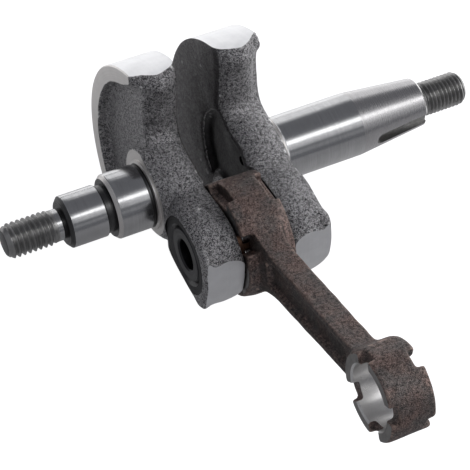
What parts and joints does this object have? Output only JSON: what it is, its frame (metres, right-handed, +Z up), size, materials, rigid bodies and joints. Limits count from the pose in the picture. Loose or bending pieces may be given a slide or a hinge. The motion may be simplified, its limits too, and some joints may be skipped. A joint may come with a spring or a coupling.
{
  "type": "crankshaft with connecting rod",
  "caption": "Pressed-together crankshaft of a small two-stroke engine: two forged webs on a hollow crankpin, a caged needle bearing and a swinging connecting rod.",
  "frame": {"origin": "on the main bearing axis, midway between the two webs", "axes": "+X along the shaft towards the tapered flywheel end, -Y towards the crankpin, +Z up"},
  "size_m": [0.1153, 0.1193, 0.0579],
  "materials": {
    "forged_crank": "shot-blasted forging with turned and ground surfaces",
    "ground_steel": "ground",
    "coppered_forging": "dark brown forging with machined bores",
    "cage_bronze": "copper plated"
  },
  "bodies": {
    "crank": {"drive_side_crank_half": "forged_crank", "flywheel_side_crank_half": "forged_crank", "crankpin": "ground_steel"},
    "rod": {"connecting_rod": "coppered_forging"},
    "cage": {"bearing_cage": "cage_bronze"},
    "roller_01": {"needle_roller_01": "ground_steel"},
    "roller_02": {"needle_roller_02": "ground_steel"},
    "roller_03": {"needle_roller_03": "ground_steel"},
    "roller_04": {"needle_roller_04": "ground_steel"},
    "roller_05": {"needle_roller_05": "ground_steel"},
    "roller_06": {"needle_roller_06": "ground_steel"},
    "roller_07": {"needle_roller_07": "ground_steel"},
    "roller_08": {"needle_roller_08": "ground_steel"},
    "roller_09": {"needle_roller_09": "ground_steel"},
    "roller_10": {"needle_roller_10": "ground_steel"},
    "roller_11": {"needle_roller_11": "ground_steel"},
    "roller_12": {"needle_roller_12": "ground_steel"},
    "roller_13": {"needle_roller_13": "ground_steel"},
    "roller_14": {"needle_roller_14": "ground_steel"}
  },
  "joints": [
    {"name": "rod_turn", "type": "hinge", "parent": "crank", "child": "rod", "pos_m": [0, -0.019, 0], "axis": [1, 0, 0], "continuous": true},
    {"name": "cage_turn", "type": "hinge", "parent": "crank", "child": "cage", "pos_m": [0, -0.019, 0], "axis": [1, 0, 0], "continuous": true},
    {"name": "roller_01_spin", "type": "hinge", "parent": "cage", "child": "roller_01", "pos_m": [0, -0.01124, 0], "axis": [1, 0, 0], "continuous": true},
    {"name": "roller_02_spin", "type": "hinge", "parent": "cage", "child": "roller_02", "pos_m": [0, -0.012, 0.00337], "axis": [1, 0, 0], "continuous": true},
    {"name": "roller_03_spin", "type": "hinge", "parent": "cage", "child": "roller_03", "pos_m": [0, -0.01416, 0.00607], "axis": [1, 0, 0], "continuous": true},
    {"name": "roller_04_spin", "type": "hinge", "parent": "cage", "child": "roller_04", "pos_m": [0, -0.01727, 0.00757], "axis": [1, 0, 0], "continuous": true},
    {"name": "roller_05_spin", "type": "hinge", "parent": "cage", "child": "roller_05", "pos_m": [0, -0.02073, 0.00757], "axis": [1, 0, 0], "continuous": true},
    {"name": "roller_06_spin", "type": "hinge", "parent": "cage", "child": "roller_06", "pos_m": [0, -0.02384, 0.00607], "axis": [1, 0, 0], "continuous": true},
    {"name": "roller_07_spin", "type": "hinge", "parent": "cage", "child": "roller_07", "pos_m": [0, -0.026, 0.00337], "axis": [1, 0, 0], "continuous": true},
    {"name": "roller_08_spin", "type": "hinge", "parent": "cage", "child": "roller_08", "pos_m": [0, -0.02677, 0], "axis": [1, 0, 0], "continuous": true},
    {"name": "roller_09_spin", "type": "hinge", "parent": "cage", "child": "roller_09", "pos_m": [0, -0.026, -0.00337], "axis": [1, 0, 0], "continuous": true},
    {"name": "roller_10_spin", "type": "hinge", "parent": "cage", "child": "roller_10", "pos_m": [0, -0.02384, -0.00607], "axis": [1, 0, 0], "continuous": true},
    {"name": "roller_11_spin", "type": "hinge", "parent": "cage", "child": "roller_11", "pos_m": [0, -0.02073, -0.00757], "axis": [1, 0, 0], "continuous": true},
    {"name": "roller_12_spin", "type": "hinge", "parent": "cage", "child": "roller_12", "pos_m": [0, -0.01727, -0.00757], "axis": [1, 0, 0], "continuous": true},
    {"name": "roller_13_spin", "type": "hinge", "parent": "cage", "child": "roller_13", "pos_m": [0, -0.01416, -0.00607], "axis": [1, 0, 0], "continuous": true},
    {"name": "roller_14_spin", "type": "hinge", "parent": "cage", "child": "roller_14", "pos_m": [0, -0.012, -0.00337], "axis": [1, 0, 0], "continuous": true}
  ],
  "couplings": [
    {"joint": "cage_turn", "follows": "rod_turn", "ratio": 0.58049},
    {"joint": "roller_01_spin", "follows": "rod_turn", "ratio": 3.0255},
    {"joint": "roller_02_spin", "follows": "rod_turn", "ratio": 3.0255},
    {"joint": "roller_03_spin", "follows": "rod_turn", "ratio": 3.0255},
    {"joint": "roller_04_spin", "follows": "rod_turn", "ratio": 3.0255},
    {"joint": "roller_05_spin", "follows": "rod_turn", "ratio": 3.0255},
    {"joint": "roller_06_spin", "follows": "rod_turn", "ratio": 3.0255},
    {"joint": "roller_07_spin", "follows": "rod_turn", "ratio": 3.0255},
    {"joint": "roller_08_spin", "follows": "rod_turn", "ratio": 3.0255},
    {"joint": "roller_09_spin", "follows": "rod_turn", "ratio": 3.0255},
    {"joint": "roller_10_spin", "follows": "rod_turn", "ratio": 3.0255},
    {"joint": "roller_11_spin", "follows": "rod_turn", "ratio": 3.0255},
    {"joint": "roller_12_spin", "follows": "rod_turn", "ratio": 3.0255},
    {"joint": "roller_13_spin", "follows": "rod_turn", "ratio": 3.0255},
    {"joint": "roller_14_spin", "follows": "rod_turn", "ratio": 3.0255}
  ]
}
